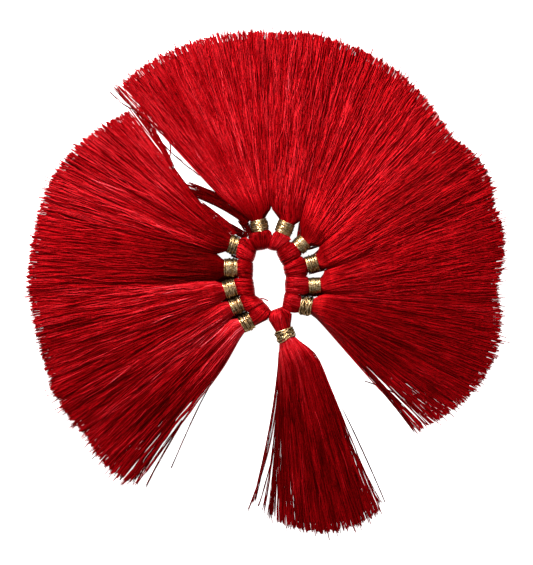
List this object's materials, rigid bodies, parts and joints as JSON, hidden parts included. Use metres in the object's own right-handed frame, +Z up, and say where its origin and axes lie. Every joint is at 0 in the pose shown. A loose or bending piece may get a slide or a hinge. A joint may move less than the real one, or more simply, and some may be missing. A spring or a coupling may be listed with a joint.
{
  "type": "silk tassel ring",
  "caption": "Red silk tassels with gold thread bindings, strung in a ring on one closed cord and fanned out flat into a nearly full disc.",
  "frame": {"origin": "middle of the bounding box in plan, at its bottom, on the surface that the ring lies on", "axes": "+Z up from the surface through the face that is seen, +Y towards the top of the disc, away from the tassel that hangs apart, +X to the right as seen from above"},
  "size_m": [0.1722, 0.1806, 0.0079],
  "materials": {
    "silk": "dyed silk thread, lustrous",
    "gold_thread": "gold metallic thread, wound",
    "cord": "twisted silk cord"
  },
  "bodies": {
    "root": {"tassel_01_hank": "silk", "tassel_01_binding": "gold_thread", "tassel_02_hank": "silk", "tassel_02_binding": "gold_thread", "tassel_03_hank": "silk", "tassel_03_binding": "gold_thread", "tassel_04_hank": "silk", "tassel_04_binding": "gold_thread", "tassel_05_hank": "silk", "tassel_05_binding": "gold_thread", "tassel_06_hank": "silk", "tassel_06_binding": "gold_thread", "tassel_07_hank": "silk", "tassel_07_binding": "gold_thread", "tassel_08_hank": "silk", "tassel_08_binding": "gold_thread", "tassel_09_hank": "silk", "tassel_09_binding": "gold_thread", "tassel_10_hank": "silk", "tassel_10_binding": "gold_thread", "tassel_11_hank": "silk", "tassel_11_binding": "gold_thread", "tassel_12_hank": "silk", "tassel_12_binding": "gold_thread", "stringing_cord": "cord"}
  },
  "joints": []
}
